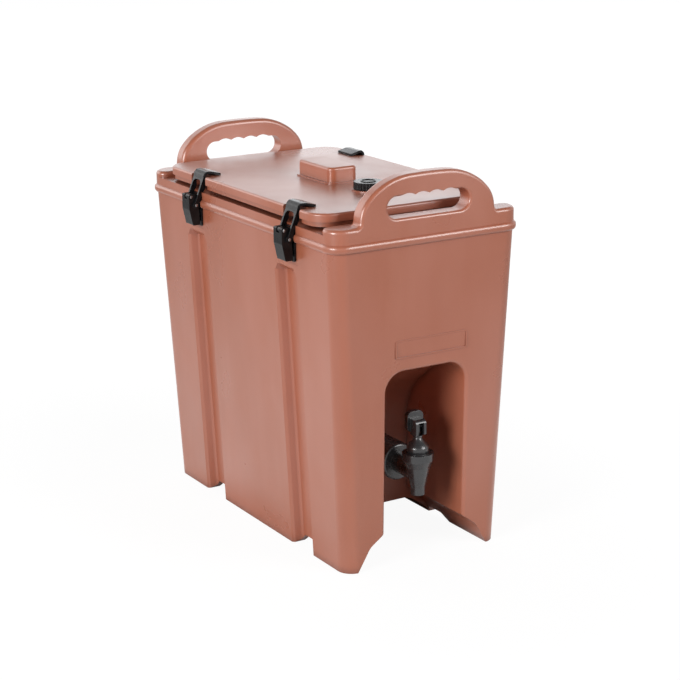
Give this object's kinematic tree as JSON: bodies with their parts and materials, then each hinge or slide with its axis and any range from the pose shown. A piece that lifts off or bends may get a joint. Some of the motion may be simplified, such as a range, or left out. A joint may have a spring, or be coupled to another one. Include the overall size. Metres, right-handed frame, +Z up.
{
  "type": "insulated beverage dispenser",
  "caption": "Insulated beverage dispenser: a moulded double-walled tub with end handles, a lift-off lid held by over-centre latches, and a self-closing tap in a front recess.",
  "frame": {"origin": "on the floor, under the middle of the case", "axes": "+Z up; the tap faces -Y; +X to the right of someone facing the tap"},
  "size_m": [0.2596, 0.426, 0.4278],
  "materials": {
    "case_plastic": "satin terracotta",
    "foam": "matt",
    "black_nylon": "fine grain satin",
    "tap_plastic": "gloss",
    "gasket_rubber": "matt",
    "black_rubber": "matt",
    "steel": "bright",
    "brass": "plain"
  },
  "bodies": {
    "case": {"body_shell": "case_plastic", "body_foam": "foam", "foam_plug": "case_plastic", "faucet_body": "tap_plastic", "faucet_bonnet": "tap_plastic", "faucet_outer_washer": "black_rubber", "faucet_inner_washer": "black_rubber", "faucet_shank_nut": "tap_plastic", "faucet_spring": "steel", "latch_screws": "steel", "latch_inserts": "brass", "latch_left_front_bracket": "black_nylon", "latch_left_front_lever_pin": "steel", "latch_left_rear_bracket": "black_nylon", "latch_left_rear_lever_pin": "steel", "latch_right_front_bracket": "black_nylon", "latch_right_front_lever_pin": "steel", "latch_right_rear_bracket": "black_nylon", "latch_right_rear_lever_pin": "steel"},
    "lid": {"lid_shell": "case_plastic", "lid_foam": "foam", "lid_foam_plug": "case_plastic", "lid_gasket": "gasket_rubber", "vent_insert": "black_nylon"},
    "vent_rise": {"vent_washer": "black_rubber"},
    "vent_cap": {"vent_cap": "black_nylon"},
    "tap_stem": {"faucet_stem": "tap_plastic", "faucet_seat_cup": "black_rubber"},
    "tap_lever": {"faucet_lever": "tap_plastic", "faucet_lever_pin": "steel"},
    "latch_left_front_lever": {"latch_left_front_lever": "black_nylon"},
    "latch_left_front_hook": {"latch_left_front_hook": "black_nylon", "latch_left_front_link_pins": "steel"},
    "latch_left_rear_lever": {"latch_left_rear_lever": "black_nylon"},
    "latch_left_rear_hook": {"latch_left_rear_hook": "black_nylon", "latch_left_rear_link_pins": "steel"},
    "latch_right_front_lever": {"latch_right_front_lever": "black_nylon"},
    "latch_right_front_hook": {"latch_right_front_hook": "black_nylon", "latch_right_front_link_pins": "steel"},
    "latch_right_rear_lever": {"latch_right_rear_lever": "black_nylon"},
    "latch_right_rear_hook": {"latch_right_rear_hook": "black_nylon", "latch_right_rear_link_pins": "steel"}
  },
  "joints": [
    {"name": "lid_lift", "type": "slide", "parent": "case", "child": "lid", "axis": [0, 0, 1], "range_m": [0, 0.065]},
    {"name": "vent_rise", "type": "slide", "parent": "lid", "child": "vent_rise", "axis": [0, 0, 1], "range_m": [0, 0.002]},
    {"name": "vent_turn", "type": "hinge", "parent": "vent_rise", "child": "vent_cap", "pos_m": [0, -0.091, 0.39], "axis": [0, 0, 1], "range_deg": [0, 240]},
    {"name": "tap_stem_lift", "type": "slide", "parent": "case", "child": "tap_stem", "axis": [0, 0, 1], "range_m": [0, 0.0035], "stiffness_N_per_m": 800, "springref_m": -0.003, "deforming": ["faucet_spring"]},
    {"name": "tap_lever_tilt", "type": "hinge", "parent": "tap_stem", "child": "tap_lever", "pos_m": [0, -0.188, 0.147], "axis": [1, 0, 0], "range_deg": [0, 40]},
    {"name": "latch_left_front_open", "type": "hinge", "parent": "case", "child": "latch_left_front_lever", "pos_m": [-0.1269, -0.1215, 0.3662], "axis": [0, 1, 0], "range_deg": [0, 90.5]},
    {"name": "latch_left_front_fold", "type": "hinge", "parent": "latch_left_front_lever", "child": "latch_left_front_hook", "pos_m": [-0.1222, -0.1215, 0.3568], "axis": [0, -1, 0], "range_deg": [0, 250.5]},
    {"name": "latch_left_rear_open", "type": "hinge", "parent": "case", "child": "latch_left_rear_lever", "pos_m": [-0.1269, 0.0915, 0.3662], "axis": [0, 1, 0], "range_deg": [0, 90.5]},
    {"name": "latch_left_rear_fold", "type": "hinge", "parent": "latch_left_rear_lever", "child": "latch_left_rear_hook", "pos_m": [-0.1222, 0.0915, 0.3568], "axis": [0, -1, 0], "range_deg": [0, 250.5]},
    {"name": "latch_right_front_open", "type": "hinge", "parent": "case", "child": "latch_right_front_lever", "pos_m": [0.1269, -0.102, 0.3662], "axis": [0, -1, 0], "range_deg": [0, 90.5]},
    {"name": "latch_right_front_fold", "type": "hinge", "parent": "latch_right_front_lever", "child": "latch_right_front_hook", "pos_m": [0.1222, -0.102, 0.3568], "axis": [0, 1, 0], "range_deg": [0, 250.5]},
    {"name": "latch_right_rear_open", "type": "hinge", "parent": "case", "child": "latch_right_rear_lever", "pos_m": [0.1269, 0.111, 0.3662], "axis": [0, -1, 0], "range_deg": [0, 90.5]},
    {"name": "latch_right_rear_fold", "type": "hinge", "parent": "latch_right_rear_lever", "child": "latch_right_rear_hook", "pos_m": [0.1222, 0.111, 0.3568], "axis": [0, 1, 0], "range_deg": [0, 250.5]}
  ],
  "couplings": [
    {"joint": "vent_turn", "follows": "vent_rise", "rad_per_m": 2094},
    {"joint": "tap_lever_tilt", "follows": "tap_stem_lift", "rad_per_m": 199.4},
    {"joint": "latch_left_front_open", "follows": "lid_lift", "rad_per_m": 24.166},
    {"joint": "latch_left_front_fold", "follows": "lid_lift", "rad_per_m": 67.128},
    {"joint": "latch_left_rear_open", "follows": "lid_lift", "rad_per_m": 24.166},
    {"joint": "latch_left_rear_fold", "follows": "lid_lift", "rad_per_m": 67.128},
    {"joint": "latch_right_front_open", "follows": "lid_lift", "rad_per_m": 24.166},
    {"joint": "latch_right_front_fold", "follows": "lid_lift", "rad_per_m": 67.128},
    {"joint": "latch_right_rear_open", "follows": "lid_lift", "rad_per_m": 24.166},
    {"joint": "latch_right_rear_fold", "follows": "lid_lift", "rad_per_m": 67.128}
  ]
}
